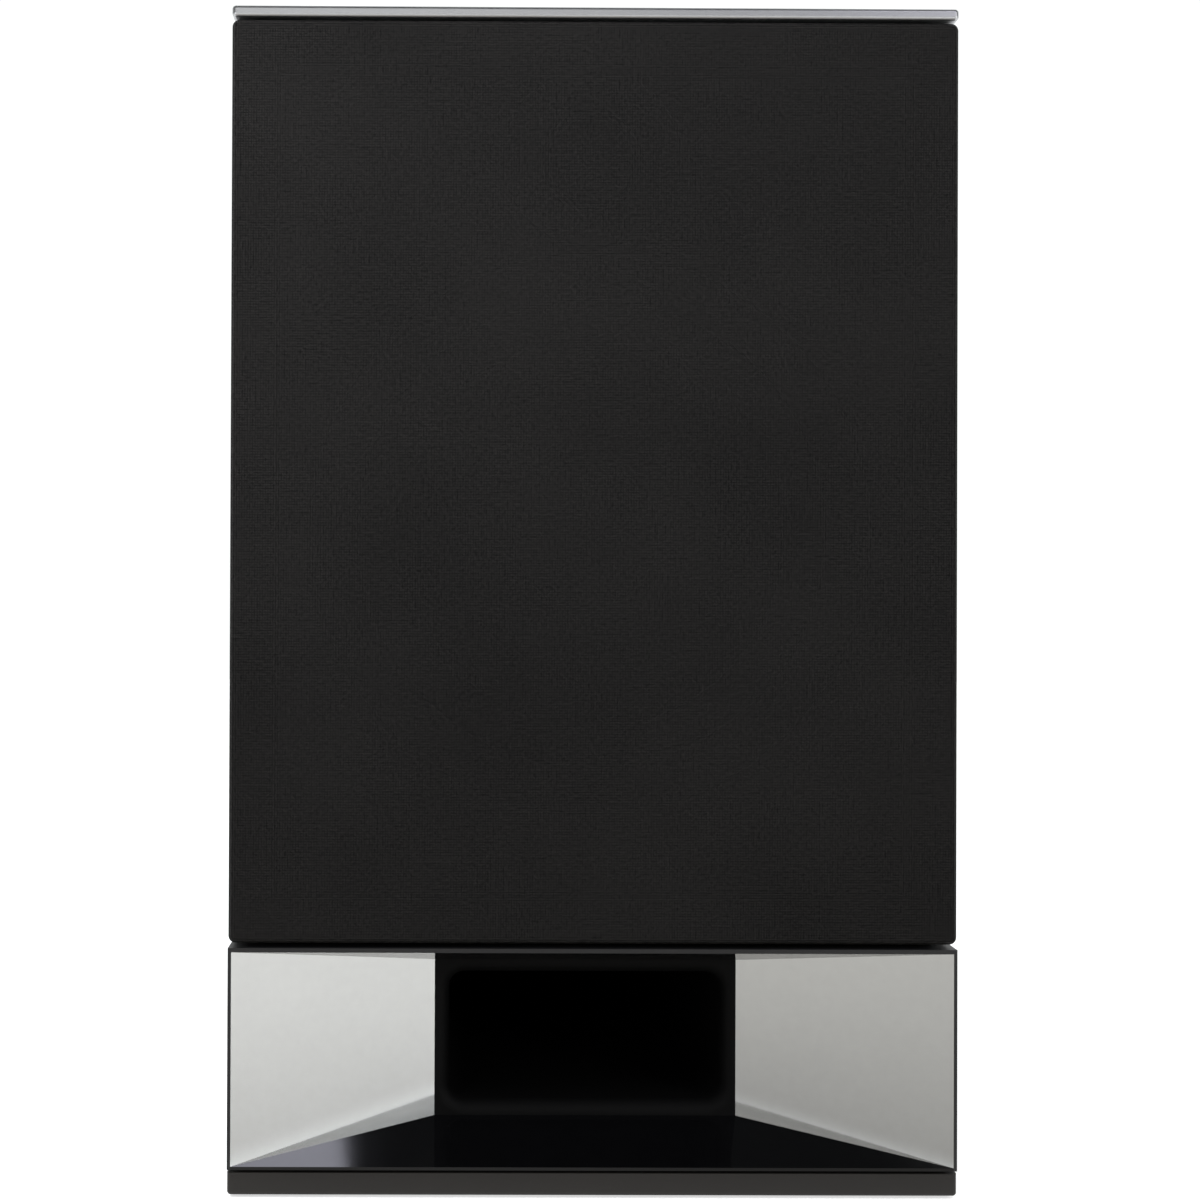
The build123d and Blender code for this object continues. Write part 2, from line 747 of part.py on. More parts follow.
pole_plate_front = basket_depth
magnet_front = pole_plate_front + pole_plate_thickness
yoke_front = magnet_front + magnet_thickness
former_inner = pole_radius + gap_clearance
former_outer = former_inner + former_thickness
winding_outer = former_outer + winding_thickness
winding_middle = pole_plate_front + pole_plate_thickness / 2
winding_ends = (winding_middle - winding_length / 2, winding_middle + winding_length / 2)

with BuildPart() as woofer_pole_plate:
    revolve(turned([(winding_outer + gap_clearance, pole_plate_front), (pole_plate_radius, pole_plate_front),
                    (pole_plate_radius, magnet_front), (winding_outer + gap_clearance, magnet_front)],
                   baffle_front, woofer_z), axis=woofer_axis)
save(woofer_pole_plate, "woofer_pole_plate")

with BuildPart() as woofer_magnet:
    revolve(turned([(magnet_inner_radius, magnet_front), (magnet_radius, magnet_front),
                    (magnet_radius, yoke_front), (magnet_inner_radius, yoke_front)],
                   baffle_front, woofer_z), axis=woofer_axis)
    chamfer(woofer_magnet.edges().filter_by(GeomType.CIRCLE).group_by(SortBy.RADIUS)[-1], 1)
save(woofer_magnet, "woofer_magnet")

with BuildPart() as woofer_yoke:
    revolve(turned([(0, pole_plate_front), (pole_radius, pole_plate_front), (pole_radius, yoke_front),
                    (yoke_radius, yoke_front), (yoke_radius, yoke_front + yoke_thickness),
                    (0, yoke_front + yoke_thickness)], baffle_front, woofer_z), axis=woofer_axis)
save(woofer_yoke, "woofer_yoke")

with BuildPart() as woofer_voice_coil:
    revolve(turned([(former_inner, former_front), (former_outer, former_front),
                    (former_outer, winding_ends[0]), (winding_outer, winding_ends[0]),
                    (winding_outer, winding_ends[1]), (former_inner, winding_ends[1])],
                   baffle_front, woofer_z), axis=woofer_axis)
save(woofer_voice_coil, "woofer_voice_coil")

with BuildPart() as woofer_cone:
    neck = former_outer + glue_line
    revolve(turned([(neck, cone_neck_depth), (cone_radius, cone_lip_depth),
                    (cone_radius + cone_lip, cone_lip_depth),
                    (cone_radius + cone_lip, cone_lip_depth + cone_thickness),
                    (cone_radius + cone_thickness / 2, cone_lip_depth + cone_thickness),
                    (neck, cone_neck_depth + cone_neck_thickening * cone_thickness)],
                   baffle_front, woofer_z), axis=woofer_axis)
save(woofer_cone, "woofer_cone")

cone_slope = (cone_neck_depth - cone_lip_depth) / (cone_radius - former_outer - glue_line)
cap_edge_depth = cone_neck_depth - (cap_radius - former_outer - glue_line) * cone_slope \
    - cap_thickness - glue_line
with BuildPart() as woofer_dust_cap:
    revolve(capped(cap_radius, cap_rise, cap_edge_depth, cap_thickness, baffle_front, woofer_z),
            axis=woofer_axis)
save(woofer_dust_cap, "woofer_dust_cap")

with BuildPart() as woofer_surround:
    roll_middle = cone_radius + cone_lip + surround_bond + roll_radius
    foot_front = -surround_thickness
    inner_roll = roll_radius - surround_thickness
    inner_foot = cone_lip_depth - surround_bond
    outer_start = roll_middle + sqrt(roll_radius ** 2 - surround_thickness ** 2)
    foot_end = roll_middle + roll_radius + surround_foot
    with BuildSketch(Plane.XY.offset(woofer_z)):
        with BuildLine():
            at = baffle_front
            Polyline((cone_radius, at + inner_foot - surround_thickness),
                     (roll_middle - roll_radius, at + inner_foot - surround_thickness),
                     (roll_middle - roll_radius, at))
            ThreePointArc((roll_middle - roll_radius, at), (roll_middle, at - roll_radius),
                          (outer_start, at + foot_front))
            Polyline((outer_start, at + foot_front), (foot_end, at + foot_front), (foot_end, at),
                     (roll_middle + inner_roll, at))
            ThreePointArc((roll_middle + inner_roll, at), (roll_middle, at - inner_roll),
                          (roll_middle - inner_roll, at))
            Polyline((roll_middle - inner_roll, at), (roll_middle - inner_roll, at + inner_foot),
                     (cone_radius, at + inner_foot), (cone_radius, at + inner_foot - surround_thickness))
        make_face()
    revolve(axis=woofer_axis)
save(woofer_surround, "woofer_surround")

with BuildPart() as woofer_gasket:
    gasket_inner = outer_start + seat_gap
    gasket_back = -surround_thickness - surround_bond
    revolve(turned([(gasket_inner, gasket_back - gasket_thickness),
                    (foot_end, gasket_back - gasket_thickness), (foot_end, gasket_back), (gasket_inner, gasket_back)], baffle_front, woofer_z),
            axis=woofer_axis)
save(woofer_gasket, "woofer_gasket")

with BuildPart() as woofer_spider:
    spider_inner = former_outer + glue_line
    wave_end = spider_radius - spider_foot
    foot_depth = basket_depth - basket_wall - surround_bond - spider_thickness
    steps = spider_points_per_wave * spider_waves
    crest = []
    for i in range(steps + 1):
        share = i / steps
        settle = spider_depth + (foot_depth - spider_depth) * share
        crest.append((spider_inner + (wave_end - spider_inner) * share,
                      baffle_front + settle + spider_wave * (cos(2 * pi * spider_waves * share) - 1)))
    trough = [(radius, y + spider_thickness) for radius, y in reversed(crest)]
    foot_y = baffle_front + foot_depth
    with BuildSketch(Plane.XY.offset(woofer_z)):
        with BuildLine():
            Spline(crest)
            Polyline(crest[-1], (spider_radius, foot_y), (spider_radius, foot_y + spider_thickness),
                     trough[0])
            Spline(trough)
            Line(trough[-1], crest[0])
        make_face()
    revolve(axis=woofer_axis)
save(woofer_spider, "woofer_spider")

strip_near = basket_back_radius + seat_gap
strip_back = baffle_front + basket_depth
tag_back = strip_back + tag_thickness
tag_start = strip_near + tag_strip_length - 4
with BuildPart() as woofer_terminals:
    block((strip_near, strip_near + tag_strip_length), (strip_back - tag_strip_thickness, strip_back),
          (woofer_z - tag_strip_height / 2, woofer_z + tag_strip_height / 2))
    for side in (-1, 1):
        middle = woofer_z + side * tag_spacing / 2
        block((tag_start, tag_start + tag_length), (strip_back, tag_back),
              (middle - tag_height / 2, middle + tag_height / 2))
save(woofer_terminals, "woofer_terminals")

with BuildPart() as wood_screws:
    with Locations(woofer_screw_places + terminal_screw_places):
        add(wood_screw)
save(wood_screws, "wood_screws")


# ---- Tweeter

tweeter_plate_front = tweeter_plate + tweeter_boss
tweeter_magnet_front = tweeter_plate_front + tweeter_pole_plate_thickness
tweeter_yoke_front = tweeter_magnet_front + tweeter_magnet_thickness
coil_inner = tweeter_pole_radius + tweeter_gap
coil_outer = coil_inner + tweeter_coil_thickness
coil_front = dome_edge_depth + dome_thickness + dome_bond

with BuildPart() as tweeter_faceplate:
    revolve(turned([(tweeter_mouth_radius, tweeter_plate / 2), (tweeter_guide_radius, 0),
                    (tweeter_radius, 0), (tweeter_radius, tweeter_plate),
                    (tweeter_motor_radius, tweeter_plate), (tweeter_motor_radius, tweeter_plate_front),
                    (tweeter_boss_inner_radius, tweeter_plate_front),
                    (tweeter_boss_inner_radius, tweeter_plate), (tweeter_mouth_radius, tweeter_plate)],
                   baffle_front, tweeter_z), axis=tweeter_axis)
    with Locations(tweeter_screw_places):
        add(small_screw_seat, mode=Mode.SUBTRACT)
save(tweeter_faceplate, "tweeter_faceplate")

with BuildPart() as tweeter_pole_plate:
    revolve(turned([(coil_outer + tweeter_gap, tweeter_plate_front),
                    (tweeter_motor_radius, tweeter_plate_front),
                    (tweeter_motor_radius, tweeter_magnet_front),
                    (coil_outer + tweeter_gap, tweeter_magnet_front)],
                   baffle_front, tweeter_z), axis=tweeter_axis)
save(tweeter_pole_plate, "tweeter_pole_plate")

with BuildPart() as tweeter_magnet:
    revolve(turned([(tweeter_magnet_inner_radius, tweeter_magnet_front),
                    (tweeter_motor_radius, tweeter_magnet_front),
                    (tweeter_motor_radius, tweeter_yoke_front),
                    (tweeter_magnet_inner_radius, tweeter_yoke_front)],
                   baffle_front, tweeter_z), axis=tweeter_axis)
save(tweeter_magnet, "tweeter_magnet")

with BuildPart() as tweeter_yoke:
    revolve(turned([(0, tweeter_plate_front), (tweeter_pole_radius, tweeter_plate_front),
                    (tweeter_pole_radius, tweeter_yoke_front), (tweeter_motor_radius, tweeter_yoke_front),
                    (tweeter_motor_radius, tweeter_yoke_front + tweeter_yoke_thickness),
                    (0, tweeter_yoke_front + tweeter_yoke_thickness)],
                   baffle_front, tweeter_z), axis=tweeter_axis)
save(tweeter_yoke, "tweeter_yoke")

with BuildPart() as tweeter_voice_coil:
    revolve(turned([(coil_inner, coil_front), (coil_outer, coil_front),
                    (coil_outer, coil_front + tweeter_coil_length),
                    (coil_inner, coil_front + tweeter_coil_length)],
                   baffle_front, tweeter_z), axis=tweeter_axis)
save(tweeter_voice_coil, "tweeter_voice_coil")

with BuildPart() as tweeter_dome:
    revolve(capped(dome_radius, dome_rise, dome_edge_depth, dome_thickness, baffle_front, tweeter_z),
            axis=tweeter_axis)
save(tweeter_dome, "tweeter_dome")

with BuildPart() as tweeter_surround:
    small_roll = dome_radius + surround_bond + tweeter_roll_radius
    inner_small_roll = tweeter_roll_radius - tweeter_surround_thickness
    at = baffle_front + tweeter_plate + surround_bond
    foot_end_small = small_roll + tweeter_roll_radius + tweeter_surround_foot
    with BuildSketch(Plane.XY.offset(tweeter_z)):
        with BuildLine():
            ThreePointArc((small_roll - tweeter_roll_radius, at), (small_roll, at - tweeter_roll_radius),
                          (small_roll + tweeter_roll_radius, at))
            Polyline((small_roll + tweeter_roll_radius, at), (foot_end_small, at),
                     (foot_end_small, at + tweeter_surround_thickness),
                     (small_roll + inner_small_roll, at + tweeter_surround_thickness),
                     (small_roll + inner_small_roll, at))
            ThreePointArc((small_roll + inner_small_roll, at), (small_roll, at - inner_small_roll),
                          (small_roll - inner_small_roll, at))
            Line((small_roll - inner_small_roll, at), (small_roll - tweeter_roll_radius, at))
        make_face()
    revolve(axis=tweeter_axis)
save(tweeter_surround, "tweeter_surround")

with BuildPart() as tweeter_screw_set:
    with Locations(tweeter_screw_places):
        add(small_screw)
save(tweeter_screw_set, "tweeter_screws")


# ---- Terminal cup, binding posts and their knobs

with BuildPart() as terminal_cup:
    with BuildSketch(facing(0, back - cup_flange_thickness, terminal_z)):
        RectangleRounded(cup_flange_width, cup_flange_height, cup_corner_radius)
    extrude(amount=cup_flange_thickness)
    with BuildSketch(facing(0, cup_back, terminal_z)):
        RectangleRounded(cup_recess_width + 2 * cup_wall, cup_recess_height + 2 * cup_wall, cup_corner_radius)
    extrude(amount=back - cup_back)
    with BuildSketch(facing(0, recess_floor, terminal_z)):
        RectangleRounded(cup_recess_width, cup_recess_height, cup_corner_radius)
    extrude(amount=cup_recess_depth, mode=Mode.SUBTRACT)
    for side in (-1, 1):
        rod(side * post_x, terminal_z, (cup_back, recess_floor), tail_radius + board_hole_clearance,
            Mode.SUBTRACT)
    with Locations(terminal_screw_places):
        add(wood_screw_seat, mode=Mode.SUBTRACT)
save(terminal_cup, "terminal_cup")


def hexagon(x, y, radius):
    """A hexagonal nut round a post's tail, between two limits along Y."""
    with BuildSketch(facing(x, y[0], terminal_z)) as outline:
        RegularPolygon(radius, 6)
        Circle(tail_radius + thread_clearance, mode=Mode.SUBTRACT)
    return extrude(outline.sketch, amount=y[1] - y[0])


def binding_post(side):
    """A 4 mm socket post with a wire hole: its tail goes through the cup and the board, between two nuts."""
    x = side * post_x
    end = recess_floor + post_length
    with BuildPart() as post:
        rod(x, terminal_z, (recess_floor, end), post_radius)
        rod(x, terminal_z, (recess_floor, recess_floor + post_collar), post_collar_radius)
        rod(x, terminal_z, (end - socket_depth, end), socket_radius, Mode.SUBTRACT)
        pillar(x, recess_floor + wire_hole_place, (terminal_z - knob_radius, terminal_z + knob_radius),
               wire_hole_radius, Mode.SUBTRACT)
        chamfer(post.edges().group_by(Axis.Y)[-1].sort_by(SortBy.RADIUS)[-1],
                post_chamfer)
        rod(x, terminal_z, (recess_floor - tail_length, recess_floor), tail_radius)
    return post


def clamp_washer(side):
    """The captive washer between a post's collar and its knob."""
    start = recess_floor + post_collar + washer_gap
    with BuildPart() as washer:
        rod(side * post_x, terminal_z, (start, start + washer_thickness), washer_radius)
        rod(side * post_x, terminal_z, (start, start + washer_thickness), post_radius + thread_clearance,
            Mode.SUBTRACT)
    return washer


def binding_knob(side):
    """A grooved ring knob on a post's thread, open through its middle for a plug."""
    x = side * post_x
    start = recess_floor + post_collar + washer_thickness + 2 * washer_gap
    with BuildPart() as knob:
        rod(x, terminal_z, (start, start + knob_length), knob_radius)
        chamfer(knob.edges().filter_by(GeomType.CIRCLE), knob_groove_radius)
        rod(x, terminal_z, (start, start + knob_length), post_radius + thread_clearance, Mode.SUBTRACT)
        with BuildSketch(facing(x, start, terminal_z)):
            with PolarLocations(knob_radius, knob_grooves):
                Circle(knob_groove_radius)
        extrude(amount=knob_length, mode=Mode.SUBTRACT)
    return knob


board_nut = (board_front - nut_thickness, board_front)
cup_nut = (board_back, cup_back)
for colour, side in (("red", -1), ("black", 1)):
    post_piece = binding_post(side)
    with BuildPart() as post_with_nuts:
        add(post_piece.part)
        add(hexagon(side * post_x, board_nut, nut_radius), mode=Mode.ADD)
        add(hexagon(side * post_x, cup_nut, nut_radius), mode=Mode.ADD)
    save(post_with_nuts, f"binding_post_{colour}")
    save(clamp_washer(side), f"clamp_washer_{colour}")
    save(binding_knob(side), f"binding_knob_{colour}")


# ---- Crossover and wiring

with BuildPart() as crossover_board:
    block((-board_width / 2, board_width / 2), (board_front, board_back),
          (terminal_z - board_height / 2, terminal_z + board_height / 2))
    for side in (-1, 1):
        rod(side * post_x, terminal_z, (board_front, board_back), tail_radius + board_hole_clearance,
            Mode.SUBTRACT)
save(crossover_board, "crossover_board")

with BuildPart() as crossover_coils:
    for x, z, outer_radius, inner_radius, length in coil_sizes:
        rod(x, terminal_z + z, (board_front - length, board_front), outer_radius)
        rod(x, terminal_z + z, (board_front - length, board_front), inner_radius, Mode.SUBTRACT)
save(crossover_coils, "crossover_coils")

with BuildPart() as crossover_capacitors:
    for x in capacitor_places_x:
        with Locations((x, board_front - capacitor_radius - capacitor_gap, terminal_z - capacitor_drop)):
            Cylinder(capacitor_radius, capacitor_length, rotation=(0, 90, 0))
save(crossover_capacitors, "crossover_capacitors")

with BuildPart() as crossover_resistor:
    length, deep, tall = resistor_size
    block((-length / 2, length / 2), (board_front - deep, board_front),
          (terminal_z - resistor_drop - tall / 2, terminal_z - resistor_drop + tall / 2))
save(crossover_resistor, "crossover_resistor")

lead_start_y = board_front - seat_gap
tag_x = tag_start + tag_length / 2
woofer_lead_x = board_width / 2 - lead_from_board_edge
woofer_route = [
    (woofer_lead_x, lead_start_y, terminal_z + woofer_lead_above_terminal),
    (woofer_lead_x, lead_start_y - lead_first_run, terminal_z + woofer_lead_above_terminal),
    (tag_x, lead_start_y - woofer_lead_knee[0], terminal_z + woofer_lead_knee[1]),
    (tag_x, baffle_back + woofer_lead_last_knee, woofer_z),
    (tag_x, tag_back + seat_gap, woofer_z),
]
tweeter_motor_back = baffle_front + tweeter_yoke_front + tweeter_yoke_thickness
low_run, high_run = tweeter_lead_above_terminal
tweeter_route = [
    (tweeter_lead_x, lead_start_y, terminal_z + low_run),
    (tweeter_lead_x, lead_start_y - lead_first_run, terminal_z + low_run),
    (tweeter_lead_x, lead_start_y - lead_first_run, terminal_z + high_run),
    (0, lead_start_y - tweeter_lead_run, tweeter_z),
    (0, tweeter_motor_back + seat_gap, tweeter_z),
]


def lead(points, bend):
    """A round two-core lead along straight runs joined by tangent arcs."""
    with BuildPart() as wire:
        with BuildLine() as run:
            FilletPolyline(points, radius=bend)
        with BuildSketch(Plane(origin=points[0], z_dir=(0, -1, 0))):
            Circle(lead_radius)
        sweep(path=run.wires()[0])
    return wire


woofer_lead = lead(woofer_route, lead_bend)
save(woofer_lead, "woofer_lead")
tweeter_lead = lead(tweeter_route, lead_bend)
save(tweeter_lead, "tweeter_lead")
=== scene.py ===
import math

import bmesh
import bpy
import numpy as np
from mathutils import Matrix, Vector


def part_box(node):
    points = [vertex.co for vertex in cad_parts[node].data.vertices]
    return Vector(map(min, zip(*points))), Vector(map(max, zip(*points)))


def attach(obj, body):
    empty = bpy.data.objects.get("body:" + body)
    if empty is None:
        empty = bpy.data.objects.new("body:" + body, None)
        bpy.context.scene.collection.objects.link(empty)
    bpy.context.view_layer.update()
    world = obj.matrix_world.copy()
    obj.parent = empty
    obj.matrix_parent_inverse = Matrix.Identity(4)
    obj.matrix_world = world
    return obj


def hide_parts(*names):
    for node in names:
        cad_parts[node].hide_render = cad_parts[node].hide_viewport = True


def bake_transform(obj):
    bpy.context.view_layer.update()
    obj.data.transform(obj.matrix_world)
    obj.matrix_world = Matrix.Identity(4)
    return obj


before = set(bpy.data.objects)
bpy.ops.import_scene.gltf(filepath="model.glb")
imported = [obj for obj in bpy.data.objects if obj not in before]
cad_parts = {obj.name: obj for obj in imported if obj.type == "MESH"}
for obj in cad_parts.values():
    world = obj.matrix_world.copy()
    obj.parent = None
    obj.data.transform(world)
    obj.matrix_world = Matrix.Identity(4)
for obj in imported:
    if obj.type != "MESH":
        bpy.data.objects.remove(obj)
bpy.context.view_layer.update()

MM = 0.001

# Places on the speaker, in millimetres: x to the right, y to the back, z up.
HALF_WIDTH = 104.0
GRILLE_FRONT = -135.0
GRILLE_BACK = -123.1
GRILLE_BOTTOM, GRILLE_TOP = 72.3, 336.0
BAFFLE_FRONT = -122.0
WOOFER_HEIGHT = 190.0


# ---------------------------------------------------------------- meshes

def piece(name, points, faces, body, material):
    """A smooth-shaded mesh object from points in millimetres and a list of faces, riding on a body."""
    mesh = bpy.data.meshes.new(name)
    mesh.from_pydata((np.asarray(points, float) * MM).tolist(), [], faces)
    mesh.validate()
    mesh.polygons.foreach_set("use_smooth", np.ones(len(mesh.polygons), bool))
    mesh.materials.append(material)
    made = bpy.data.objects.new(name, mesh)
    bpy.context.scene.collection.objects.link(made)
    if body:
        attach(made, body)
    return made


def turned_out(made):
    """Recalculates the faces of a closed piece so that they all point outwards."""
    work = bmesh.new()
    work.from_mesh(made.data)
    bmesh.ops.recalc_face_normals(work, faces=work.faces)
    work.to_mesh(made.data)
    work.free()


def quads(rows, columns, rows_close=False, columns_close=False):
    """Faces of a grid whose point (i, j) is number i * columns + j. A closing direction joins its last line
    to its first."""
    i = np.arange(rows if rows_close else rows - 1)[:, None]
    j = np.arange(columns if columns_close else columns - 1)[None, :]
    i2, j2 = (i + 1) % rows, (j + 1) % columns
    corners = [i * columns + j, i * columns + j2, i2 * columns + j2, i2 * columns + j]
    return np.stack([np.broadcast_to(c, (i.size, j.size)).ravel() for c in corners], 1).tolist()


def arc(middle, radius, start, end, steps):
    """Points (across, along) on a circle from one angle to another, in degrees, both ends included."""
    turn = np.radians(np.linspace(start, end, steps))
    return np.stack([middle[0] + radius * np.cos(turn), middle[1] + radius * np.sin(turn)], 1)


def ring_round_axis(profile, height, steps):
    """Carries a closed profile of (radius, y) round the driver's axis: x = radius sin t and
    z = height + radius cos t."""
    profile = np.asarray(profile, float)
    turn = np.linspace(0, 2 * math.pi, steps, endpoint=False)[:, None]
    radius, depth = profile[None, :, 0], profile[None, :, 1]
    points = np.stack([radius * np.sin(turn), depth + 0 * turn, height + radius * np.cos(turn)], 2)
    return points.reshape(-1, 3), quads(steps, len(profile), True, True)


def rounded_outline(half_width, half_height, corner, corner_steps, side_steps):
    """Points (across, up) round a rectangle with round corners, anticlockwise, evenly spaced on each side
    and on each corner."""
    w, h = half_width - corner, half_height - corner
    corners = [((w, h), 0), ((-w, h), 90), ((-w, -h), 180), ((w, -h), 270)]
    parts = []
    for i, (middle, start) in enumerate(corners):
        bend = arc(middle, corner, start, start + 90, corner_steps)
        ahead = arc(corners[(i + 1) % 4][0], corner, start + 90, start + 91, 2)[0]
        share = np.linspace(0, 1, side_steps + 1)[1:-1, None]
        parts += [bend, bend[-1] * (1 - share) + ahead * share]
    return np.concatenate(parts)


# ---------------------------------------------------------------- finishes

# A wave texture at this scale repeats once in each unit, so a thread or a turn has the size it is given.
WAVE_OF_ONE = 0.314
# The slow drift's share of a finish's shade, and the heights between which its colour and its gloss run.
DRIFT_SHARE = 0.35
COLOUR_FROM, COLOUR_TO = 0.25, 0.75
GLOSS_FROM, GLOSS_TO = 0.2, 0.8


def linear(code):
    """An sRGB hex colour as linear red, green, blue and alpha."""
    parts = [int(code[i:i + 2], 16) / 255 for i in (1, 3, 5)]
    return tuple(v / 12.92 if v <= 0.04045 else ((v + 0.055) / 1.055) ** 2.4 for v in parts) + (1.0,)


def add(tree, kind, inputs=None, **settings):
    """Adds one node. inputs gives each socket a value, or another node's output to link."""
    made = tree.nodes.new(kind)
    for key, value in settings.items():
        setattr(made, key, value)
    for key, value in (inputs or {}).items():
        if isinstance(value, bpy.types.NodeSocket):
            tree.links.new(value, made.inputs[key])
        else:
            made.inputs[key].default_value = value
    return made


def shader(name):
    """A new material with its Principled shader and its object coordinates, ready for a pattern."""
    made = bpy.data.materials.new(name)
    made.use_nodes = True
    tree = made.node_tree
    place = tree.nodes.new("ShaderNodeTexCoord").outputs["Object"]
    return made, tree, tree.nodes["Principled BSDF"], place


def pattern(tree, place, kind, size, stretch):
    """One pattern's height, from 0 to 1: noise for a grain, distance to the nearest point for cells, bands
    along y for rings, and bands along x times bands along z for a weave. size is the real size of one
    grain, cell or thread in millimetres, and stretch makes it that many times longer along x, y and z."""
    scale = tuple(1 / (MM * size * s) for s in stretch)
    at = add(tree, "ShaderNodeMapping", {"Vector": place, "Scale": scale}).outputs["Vector"]
    if kind == "grain":
        return add(tree, "ShaderNodeTexNoise", {"Vector": at, "Scale": 1.0, "Detail": 4.0,
                                                "Roughness": 0.6}).outputs[0]
    if kind == "cells":
        return add(tree, "ShaderNodeTexVoronoi", {"Vector": at, "Scale": 1.0},
                   feature="F1").outputs["Distance"]
    unevenness, ways = {"rings": (0.2, "Y"), "weave": (0.6, "XZ")}[kind]
    asked = {"Vector": at, "Scale": WAVE_OF_ONE, "Distortion": unevenness, "Detail": 1.0}
    bands = [add(tree, "ShaderNodeTexWave", asked, wave_type="BANDS", bands_direction=way).outputs[1]
             for way in ways]
    if kind == "rings":
        return bands[0]
    return add(tree, "ShaderNodeMath", {0: bands[0], 1: bands[1]}, operation="MULTIPLY").outputs[0]


def finish(name, low, high, kind, size, rough, relief, stretch=(1, 1, 1), drift=40.0, **uniform):
    """A finish whose colour runs from low to high with a fine pattern and a slow drift over the piece. Its
    roughness runs between two values with the same pattern, and relief is the pattern's depth in
    millimetres."""
    made, tree, principled, place = shader(name)
    fine = pattern(tree, place, kind, size, stretch)
    slow = pattern(tree, place, "grain", drift, (1, 1, 1))
    both = add(tree, "ShaderNodeMix", {"Factor": DRIFT_SHARE, "A": fine, "B": slow},
               data_type="FLOAT").outputs[0]
    colour = add(tree, "ShaderNodeMapRange", {"Value": both, "From Min": COLOUR_FROM,
                                              "From Max": COLOUR_TO}).outputs[0]
    mixed = add(tree, "ShaderNodeMix", {0: colour}, data_type="RGBA")
    mixed.inputs[6].default_value, mixed.inputs[7].default_value = linear(low), linear(high)
    tree.links.new(mixed.outputs[2], principled.inputs["Base Color"])
    dull = add(tree, "ShaderNodeMapRange", {"Value": both, "From Min": GLOSS_FROM, "From Max": GLOSS_TO,
                                            "To Min": rough[0], "To Max": rough[1]}).outputs[0]
    tree.links.new(dull, principled.inputs["Roughness"])
    bump = add(tree, "ShaderNodeBump", {"Height": fine, "Distance": relief * MM, "Strength": 1.0})
    tree.links.new(bump.outputs[0], principled.inputs["Normal"])
    for key, value in uniform.items():
        principled.inputs[key.replace("_", " ")].default_value = value
    return made


